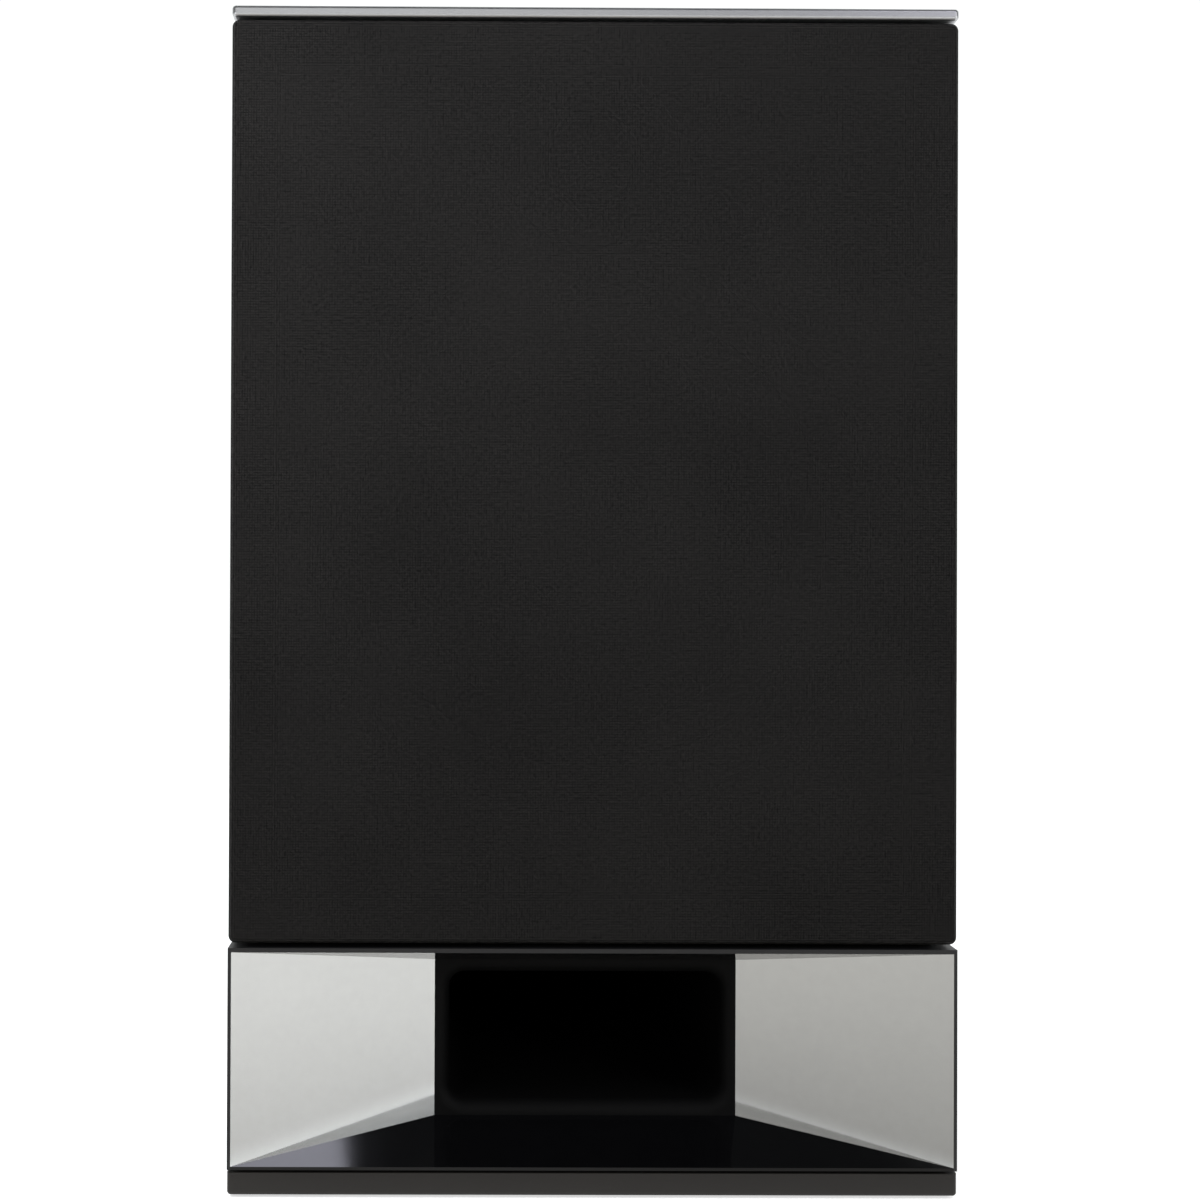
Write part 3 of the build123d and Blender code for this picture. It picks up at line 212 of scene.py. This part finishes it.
FINISHES = {
    # Bead-blasted and anodised aluminium: a soft even grey with a very fine tooth.
    "aluminium_plate": finish("blasted_anodised_aluminium", "#B9BABC", "#C6C7C9", "grain", 0.5,
                              (0.33, 0.42), 0.006, Metallic=1.0),
    # Fibreboard sprayed with black lacquer: satin, with the slight orange peel of spray, about 1.5 mm wide.
    "painted_panel": finish("sprayed_satin_lacquer", "#18181A", "#1F1F21", "grain", 1.5, (0.33, 0.42),
                            0.012, IOR=1.5),
    # Bare fibreboard: pressed wood fibres, brown and matt, in flecks of about 1 mm.
    "raw_board": finish("pressed_fibreboard", "#7A5C3E", "#9A7A58", "grain", 1.0, (0.75, 0.9), 0.05,
                        stretch=(1.6, 1.6, 0.8), IOR=1.5),
    # Aluminium plate under dark powder coat: fine grit of about 0.6 mm that scatters the light.
    "base_paint": finish("powder_coated_plate", "#211F1D", "#2A2825", "grain", 0.6, (0.5, 0.62), 0.02,
                         IOR=1.5, Specular_IOR_Level=0.3),
    # ABS moulded in a spark-eroded tool: a fine matt grain.
    "base_moulding": finish("grained_abs_housing", "#171718", "#1E1E1F", "grain", 0.7, (0.42, 0.55), 0.02,
                            IOR=1.53),
    # Acrylic polished to a deep black gloss: sharp reflections, with the faint slow waviness of a moulding.
    "gloss_black": finish("polished_black_acrylic", "#070708", "#0A0A0B", "grain", 6.0, (0.03, 0.07), 0.001,
                          IOR=1.49),
    # Polished and anodised aluminium sheet: a pale, even reflection a little softer than glass.
    "mirror": finish("bright_anodised_reflector", "#C2C4C4", "#C9CBCB", "grain", 3.0, (0.05, 0.08), 0.001,
                     Metallic=1.0),
    # ABS of the air duct, moulded matt.
    "port_plastic": finish("matt_abs_duct", "#060606", "#0A0A0A", "grain", 0.8, (0.6, 0.7), 0.02, IOR=1.53,
                           Specular_IOR_Level=0.12),
    # Closed-cell foam tape: tiny cells that give no shine.
    "black_foam_tape": finish("closed_cell_tape", "#0D0D0D", "#151515", "cells", 0.5, (0.85, 0.95), 0.04,
                              IOR=1.45),
    # Moulded silicone rubber: dull with a light bloom.
    "foot_rubber": finish("moulded_rubber", "#151515", "#1E1E1E", "grain", 0.8, (0.65, 0.8), 0.02,
                          IOR=1.52),
    # Glass-filled nylon of the grille frame.
    "frame_plastic": finish("filled_nylon_frame", "#111112", "#181819", "grain", 0.8, (0.45, 0.6), 0.02,
                            IOR=1.53),
    # Open-cell polyurethane foam: pores of about 1.2 mm, no shine.
    "foam": finish("open_cell_foam", "#3E3E43", "#67676D", "cells", 1.2, (0.9, 1.0), 0.35, IOR=1.4),
    # Cast aluminium basket under powder coat.
    "basket": finish("powder_coated_casting", "#222325", "#2C2D2F", "grain", 0.7, (0.45, 0.58), 0.03,
                     IOR=1.5),
    # Sintered and ground ferrite: dark grey with fine grinding marks along one direction.
    "ferrite": finish("ground_ferrite", "#2F2F32", "#424246", "grain", 0.5, (0.5, 0.65), 0.02,
                      stretch=(8, 1, 1), IOR=2.0),
    # Zinc-plated mild steel: bright grey with a slow cloudiness.
    "plated_steel": finish("zinc_plated_steel", "#9A9CA0", "#BCBEC1", "grain", 2.0, (0.25, 0.38), 0.004,
                           Metallic=1.0),
    # Steel screws blackened in an oxide bath: dark, oily, half-bright.
    "black_screw": finish("black_oxide_steel", "#101011", "#1D1D1E", "grain", 0.6, (0.35, 0.5), 0.008,
                          Metallic=0.8),
    # Felted paper pulp under a damping coat: short fibres of about 1 mm, satin.
    "cone": finish("coated_paper_cone", "#323335", "#424346", "grain", 1.0, (0.5, 0.68), 0.05, IOR=1.5),
    # The same pulp, pressed smoother.
    "cap": finish("pressed_paper_cap", "#2A2A2C", "#333336", "grain", 0.8, (0.45, 0.6), 0.03, IOR=1.5),
    # Moulded butyl rubber: black, satin, with a faint bloom.
    "surround_rubber": finish("butyl_rubber", "#19191A", "#222223", "grain", 1.2, (0.42, 0.55), 0.01,
                              IOR=1.52),
    # Cotton cloth dipped in resin: amber threads about 0.8 mm apart.
    "spider_cloth": finish("resin_dipped_cotton", "#8E7238", "#C6A863", "weave", 0.8, (0.6, 0.75), 0.06,
                           IOR=1.5),
    # Enamelled copper wire wound side by side: turns drawn 0.5 mm apart, coarser than the real 0.25 mm.
    "coil_wire": finish("enamelled_copper_turns", "#8E4A1E", "#C77B3B", "rings", 0.5, (0.25, 0.4), 0.08,
                        Metallic=1.0),
    # Aluminium anodised black after fine turning.
    "faceplate": finish("black_anodised_aluminium", "#26272A", "#303134", "grain", 0.5, (0.35, 0.45), 0.006,
                        Metallic=0.6),
    # Silk under a tacky damping coat: threads drawn 0.6 mm apart, coarser than real ones.
    "dome_silk": finish("coated_silk", "#161618", "#222224", "weave", 0.6, (0.4, 0.55), 0.02, IOR=1.5),
    # Glass-fibre board under green solder resist: the glass weave shows through.
    "circuit_board": finish("solder_resist", "#214A2C", "#356B44", "weave", 1.0, (0.25, 0.38), 0.01,
                            IOR=1.55),
    # Film capacitors in a wrap of yellow polyester tape.
    "film_capacitor": finish("polyester_wrap", "#BFA94F", "#D2BF6C", "grain", 4.0, (0.2, 0.32), 0.02,
                             IOR=1.6),
    # Cement resistor body: chalky white ceramic.
    "ceramic": finish("cement_ceramic", "#D6D1C3", "#EAE6DC", "grain", 0.8, (0.8, 0.92), 0.04, IOR=1.55),
    # Soft PVC cable jacket.
    "cable_jacket": finish("soft_pvc_jacket", "#1C1C1E", "#28282A", "grain", 1.5, (0.45, 0.6), 0.02,
                           IOR=1.53),
    # Textured ABS of the terminal cup.
    "cup_plastic": finish("textured_abs_cup", "#131314", "#1B1B1C", "grain", 0.7, (0.45, 0.58), 0.03,
                          IOR=1.53),
    # Turned brass with a gold flash: warm and bright.
    "plated_brass": finish("gold_flashed_brass", "#C79F49", "#DDBB6A", "grain", 1.0, (0.14, 0.24), 0.003,
                           Metallic=1.0),
    # Polycarbonate covers of the knobs, tinted through.
    "red_knob": finish("red_polycarbonate", "#96161A", "#B02222", "grain", 3.0, (0.12, 0.2), 0.004,
                       IOR=1.58),
    "black_knob": finish("black_polycarbonate", "#101011", "#171718", "grain", 3.0, (0.12, 0.2), 0.004,
                         IOR=1.58),
    # Paper laminate of the tag strip: brown, resin-soaked.
    "phenolic": finish("phenolic_paper", "#5C3D22", "#764F2E", "grain", 1.2, (0.4, 0.55), 0.02, IOR=1.6),
}


def knitted_cloth():
    """Warp-knitted polyester on the grille. Stitches are drawn 0.75 mm apart, a little coarser than the
    real 0.5 mm. The yarn is almost black and matt, and the open stitches let a little light through."""
    # Millimetres, then shares of the shade, then the heights between which it runs from dark to pale.
    stitch, tuft, unevenness, stitch_depth = 0.75, 0.9, 60.0, 0.12
    tuft_share, uneven_share = 0.65, 0.15
    dark_from, pale_to = 0.28, 0.6
    dull, shine, cover = 0.9, 0.06, 0.9
    made, tree, principled, place = shader("knitted_polyester")
    stitches = pattern(tree, place, "weave", stitch, (1, 1, 1))
    yarn = pattern(tree, place, "grain", tuft, (1, 1, 1))
    slow = pattern(tree, place, "grain", unevenness, (1, 1, 1))
    knit = add(tree, "ShaderNodeMix", {"Factor": tuft_share, "A": stitches, "B": yarn},
               data_type="FLOAT").outputs[0]
    both = add(tree, "ShaderNodeMix", {"Factor": uneven_share, "A": knit, "B": slow},
               data_type="FLOAT").outputs[0]
    shade = add(tree, "ShaderNodeMapRange", {"Value": both, "From Min": dark_from,
                                             "From Max": pale_to}).outputs[0]
    mixed = add(tree, "ShaderNodeMix", {0: shade}, data_type="RGBA")
    mixed.inputs[6].default_value, mixed.inputs[7].default_value = linear("#0F0F0F"), linear("#2C2B2A")
    tree.links.new(mixed.outputs[2], principled.inputs["Base Color"])
    bump = add(tree, "ShaderNodeBump", {"Height": both, "Distance": stitch_depth * MM, "Strength": 0.8})
    tree.links.new(bump.outputs[0], principled.inputs["Normal"])
    for key, value in {"Roughness": dull, "Specular IOR Level": shine, "Alpha": cover}.items():
        principled.inputs[key].default_value = value
    return made


FINISHES["grille_cloth"] = knitted_cloth()

for name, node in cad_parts.items():
    for socket in node.material_slots:
        socket.material = FINISHES[socket.material.name.split(".")[0]]


# ---------------------------------------------------------------- grille cloth

def grille_cloth():
    """The cloth stretched over the grille frame, as an outer and an inner skin joined along their back
    edges. Each skin is rings of a rounded rectangle: the flat front, a quarter-round edge where the inset
    follows one minus a sine and the depth one minus a cosine, and straight back along the frame's sides."""
    # The front's rings are millimetres in from the edge, and a bend saves a share of its radius in the flat.
    thickness, edge, corner, tuck = 0.7, 1.6, 2.0, 4.0
    front_rings = [90.0, 60.0, 30.0, 8.0, 3.0]
    bend_steps, side_rings, side_steps = 7, 4, 12
    half_height = (GRILLE_TOP - GRILLE_BOTTOM) / 2
    middle = (GRILLE_TOP + GRILLE_BOTTOM) / 2
    turn = np.radians(np.linspace(0, 90, bend_steps))

    def skin(t):
        """The rings of one skin that lies t millimetres inside the cloth's outer face."""
        bend_in, bend_back = t + (edge - t) * (1 - np.sin(turn)), t + (edge - t) * (1 - np.cos(turn))
        inset = np.concatenate([front_rings, bend_in, np.full(side_rings, t)])
        back = np.linspace(tuck, GRILLE_BACK - GRILLE_FRONT, side_rings)
        depth = np.concatenate([np.full(len(front_rings), t), bend_back, back])
        lines = [rounded_outline(HALF_WIDTH - i, half_height - i, corner - t, bend_steps, side_steps)
                 for i in inset]
        return [np.stack([line[:, 0], np.full(len(line), GRILLE_FRONT + d), middle + line[:, 1]], 1)
                for line, d in zip(lines, depth)]

    rings = skin(0.0) + skin(thickness)[::-1]
    count = len(rings[0])
    last = (len(rings) - 1) * count
    ends = [list(range(count)), list(range(last, last + count))[::-1]]
    faces = ends + quads(len(rings), count, columns_close=True)
    made = piece("grille_cloth_cover", np.concatenate(rings), faces, None, FINISHES["grille_cloth"])
    turned_out(made)
    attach(made, "grille")
    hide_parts("grille_cloth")


grille_cloth()


# ---------------------------------------------------------------- woofer suspension

def roll_surround():
    """Half-roll rubber surround: a closed profile of inner foot, inner leg, half-round roll and outer foot,
    carried round the woofer's axis."""
    roll, wall, middle, reach = 5.5, 0.8, 62.8, 72.5
    inner_foot, inner_end = 5.7, 55.0
    # The roll ends this many degrees early, where it meets the face of the outer foot.
    foot_angle, glue = 8.4, 0.02
    roll_steps, leg_steps, turn_steps = 25, 8, 144
    outside = arc((middle, BAFFLE_FRONT), roll, 180, 360 - foot_angle, roll_steps)
    inside = arc((middle, BAFFLE_FRONT), roll - wall, 360, 180, roll_steps)
    leg = np.linspace(BAFFLE_FRONT + inner_foot - wall, BAFFLE_FRONT, leg_steps + 1)[:-1]
    back_leg = np.linspace(BAFFLE_FRONT, BAFFLE_FRONT + inner_foot, leg_steps + 1)[1:]
    profile = np.concatenate([
        [(inner_end, BAFFLE_FRONT + inner_foot - wall)],
        np.stack([np.full(leg_steps, middle - roll), leg], 1), outside,
        [(reach, BAFFLE_FRONT - wall), (reach, BAFFLE_FRONT - glue)], inside,
        np.stack([np.full(leg_steps, middle - roll + wall), back_leg], 1),
        [(inner_end, BAFFLE_FRONT + inner_foot)]])
    points, faces = ring_round_axis(profile, WOOFER_HEIGHT, turn_steps)
    made = piece("rubber_surround", points, faces, None, FINISHES["surround_rubber"])
    turned_out(made)
    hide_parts("woofer_surround")
    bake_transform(made)


def corrugated_spider():
    """Corrugated centring spider, half a millimetre thick: a cosine wave of eight ripples on a shallow cone
    between coil former and basket, with a flat rim."""
    neck, flat_from, rim, wall = 12.95, 39.0, 43.0, 0.5
    neck_front, rim_front = -91.2, -87.6
    # The bend lies between the two fronts, a little forward to keep the ripples inside it.
    ripples, half_ripple = 8, 0.45
    radius_steps, turn_steps = 97, 96
    radius = np.linspace(neck, rim, radius_steps)
    share = np.clip((radius - neck) / (flat_from - neck), 0, 1)
    ripple = half_ripple * (np.cos(2 * np.pi * ripples * share) - 1) * (share < 1)
    front = neck_front + (rim_front - neck_front) * share + ripple
    profile = np.concatenate([np.stack([radius, front], 1), np.stack([radius, front + wall], 1)[::-1]])
    points, faces = ring_round_axis(profile, WOOFER_HEIGHT, turn_steps)
    made = piece("centring_spider", points, faces, None, FINISHES["spider_cloth"])
    turned_out(made)
    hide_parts("woofer_spider")
    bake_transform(made)


roll_surround()
corrugated_spider()


# ---------------------------------------------------------------- foam pads

def profiled_foam(name, node):
    """Egg-crate foam pad in the space of its CAD pad: a closed block whose inner face stands in rounded
    peaks. Its depth is the valley's, and over that the rest times the product of two raised cosines."""
    low, high = (np.array(c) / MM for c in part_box(node))
    size = high - low
    thin = int(np.argmin(size))
    a, b = [k for k in range(3) if k != thin]
    peak, valley, step = 24.0, 0.55, 3
    ia, ib = int(size[a] / step), int(size[b] / step)
    u, v = np.meshgrid(np.linspace(0, 1, ia), np.linspace(0, 1, ib), indexing="ij")
    na, nb = max(1, round(size[a] / peak)), max(1, round(size[b] / peak))
    wave = (0.5 - 0.5 * np.cos(2 * np.pi * na * u)) * (0.5 - 0.5 * np.cos(2 * np.pi * nb * v))
    height = valley + (1 - valley) * wave
    left_wall = thin == 0 and low[thin] < 0
    inward = 1 if left_wall else -1
    wall_side = low[thin] if inward > 0 else high[thin]
    sheets = []
    for depth in (np.zeros_like(height), height):
        grid = np.zeros(u.shape + (3,))
        grid[..., a], grid[..., b] = low[a] + u * size[a], low[b] + v * size[b]
        grid[..., thin] = wall_side + inward * depth * size[thin]
        sheets.append(grid.reshape(-1, 3))
    top = np.array(quads(ia, ib))
    count = ia * ib
    number = np.arange(count).reshape(ia, ib)
    edge = np.concatenate([number[:-1, 0], number[-1, :-1], number[:0:-1, -1], number[0, :0:-1]])
    after = np.roll(edge, -1)
    sides = np.stack([edge, after, after + count, edge + count], 1)
    faces = np.concatenate([top[:, ::-1], top + count, sides])
    made = piece(name, np.concatenate(sheets), faces.tolist(), "speaker", FINISHES["foam"])
    turned_out(made)
    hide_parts(node)


for side in ("left", "right", "rear"):
    profiled_foam("foam_pad_" + side, "damping_pad_" + side)


# ---------------------------------------------------------------- stage, light and camera

def studio_floor():
    """A pale satin table under the speaker that glows a little: white all round it, with a painted shadow
    just in front of it. The painted shadow is a round patch of grey colour and dimmer glow that fades
    outwards and stops along a line before the speaker's front."""
    line_from, line_to = -0.17, -0.13
    # The painted shadow's middle in metres, the distances over which it fades out, and its glow against the
    # table's.
    painted_shade_middle, painted_shade_from, painted_shade_to = (0.0, -0.30, 0.0), 0.22, 0.62
    painted_shade_glow, table_glow = 0.04, 0.60
    satin, reach = 0.3, 3.0
    made, tree, principled, place = shader("pale_table")
    parts = add(tree, "ShaderNodeSeparateXYZ", {"Vector": place})
    line = {"Value": parts.outputs["Y"], "From Min": line_from, "From Max": line_to}
    behind = add(tree, "ShaderNodeMapRange", line, interpolation_type="SMOOTHSTEP").outputs[0]
    away = add(tree, "ShaderNodeVectorMath", {0: place, 1: painted_shade_middle},
               operation="DISTANCE").outputs["Value"]
    far = add(tree, "ShaderNodeMapRange", {"Value": away, "From Min": painted_shade_from, "From Max": painted_shade_to},
              interpolation_type="SMOOTHSTEP").outputs[0]
    white = add(tree, "ShaderNodeMath", {0: behind, 1: far}, operation="MAXIMUM").outputs[0]
    glow = add(tree, "ShaderNodeMapRange", {"Value": white, "To Min": painted_shade_glow,
                                            "To Max": table_glow}).outputs[0]
    # Painted shadow: grey colour inside the patch, and the table's pale colour outside it.
    mixed = add(tree, "ShaderNodeMix", {0: white}, data_type="RGBA")
    mixed.inputs[6].default_value, mixed.inputs[7].default_value = linear("#A6A198"), linear("#E6E7E6")
    tree.links.new(mixed.outputs[2], principled.inputs["Base Color"])
    principled.inputs["Roughness"].default_value = satin
    principled.inputs["Emission Color"].default_value = linear("#FFFFFF")
    tree.links.new(glow, principled.inputs["Emission Strength"])
    mesh = bpy.data.meshes.new("studio_floor")
    corners = [(-reach, -reach, 0), (reach, -reach, 0), (reach, reach, 0), (-reach, reach, 0)]
    mesh.from_pydata(corners, [], [(0, 1, 2, 3)])
    mesh.materials.append(made)
    floor = bpy.data.objects.new("studio_floor", mesh)
    bpy.context.scene.collection.objects.link(floor)


def studio_light(name, place, target, size, watts, colour="#FFFFFF", seen=True):
    """A soft square lamp that looks at a point. One that isn't seen gives light but shows in no gloss."""
    lamp = bpy.data.lights.new(name, "AREA")
    lamp.shape, lamp.size, lamp.energy, lamp.color = "SQUARE", size, watts, linear(colour)[:3]
    made = bpy.data.objects.new(name, lamp)
    made.location, made.visible_glossy = place, seen
    made.rotation_euler = (Vector(target) - Vector(place)).to_track_quat("-Z", "Y").to_euler()
    bpy.context.scene.collection.objects.link(made)


def studio_surround():
    """The white studio round the speaker: bright behind it and dimmer on the side that the grille faces.
    A way is a direction's share towards the back, from -1 to 1."""
    front_way, back_way = -0.2, 0.35
    front_light, back_light = 0.04, 1.06
    world = bpy.data.worlds.new("studio")
    bpy.context.scene.world = world
    world.use_nodes = True
    tree = world.node_tree
    way = add(tree, "ShaderNodeTexCoord").outputs["Generated"]
    parts = add(tree, "ShaderNodeSeparateXYZ", {"Vector": way})
    run = {"Value": parts.outputs["Y"], "From Min": front_way, "From Max": back_way,
           "To Min": front_light, "To Max": back_light}
    behind = add(tree, "ShaderNodeMapRange", run, interpolation_type="SMOOTHSTEP").outputs[0]
    tree.links.new(behind, tree.nodes["Background"].inputs["Strength"])
    tree.nodes["Background"].inputs["Color"].default_value = linear("#FDFFFE")


studio_floor()
studio_surround()
# Each lamp's name, place, target, size in metres and power in watts.
studio_light("key_softbox", (-0.33, -0.50, 0.60), (0, -0.13, 0.22), 0.3, 4.5, "#F9FAFF", seen=False)
studio_light("top_card", (-0.18, -1.25, 0.68), (0, -0.13, 0.3), 0.7, 1.8)
studio_light("right_softbox", (0.78, -0.92, 0.34), (0, -0.13, 0.0), 0.46, 2.7)
studio_light("left_softbox", (-0.62, -0.99, 0.30), (0, -0.13, 0.0), 0.40, 0.8)
studio_light("right_card", (0.335, -0.615, 0.645), (-0.078, -0.124, 0.015), 0.16, 0.42, "#F2F0FF")

# The lens and the film in millimetres, the film's shift as a share of its width, the camera's place and
# clipping in metres, and its turns in degrees.
LENS, SENSOR = 51.0, 36.0
SHIFT_RIGHT, SHIFT_UP = 0.1143, -0.0074
CAMERA_PLACE = (-0.040, -0.6195, 0.1703)
TURN_RIGHT, TURN_UP, TILT_OF_FILM = 0.3, 0.3, 0.22
NEAR, FAR = 0.01, 20.0
camera = bpy.data.cameras.new("camera")
camera.lens, camera.sensor_width = LENS, SENSOR
camera.shift_x, camera.shift_y = SHIFT_RIGHT, SHIFT_UP
camera.clip_start, camera.clip_end = NEAR, FAR
eye = bpy.data.objects.new("camera", camera)
eye.matrix_world = (Matrix.Translation(CAMERA_PLACE)
                    @ Matrix.Rotation(math.radians(-TURN_RIGHT), 4, "Z")
                    @ Matrix.Rotation(math.radians(90 + TURN_UP), 4, "X")
                    @ Matrix.Rotation(math.radians(TILT_OF_FILM), 4, "Z"))
bpy.context.scene.collection.objects.link(eye)
bpy.context.scene.camera = eye
bpy.context.scene.view_settings.view_transform = "Standard"
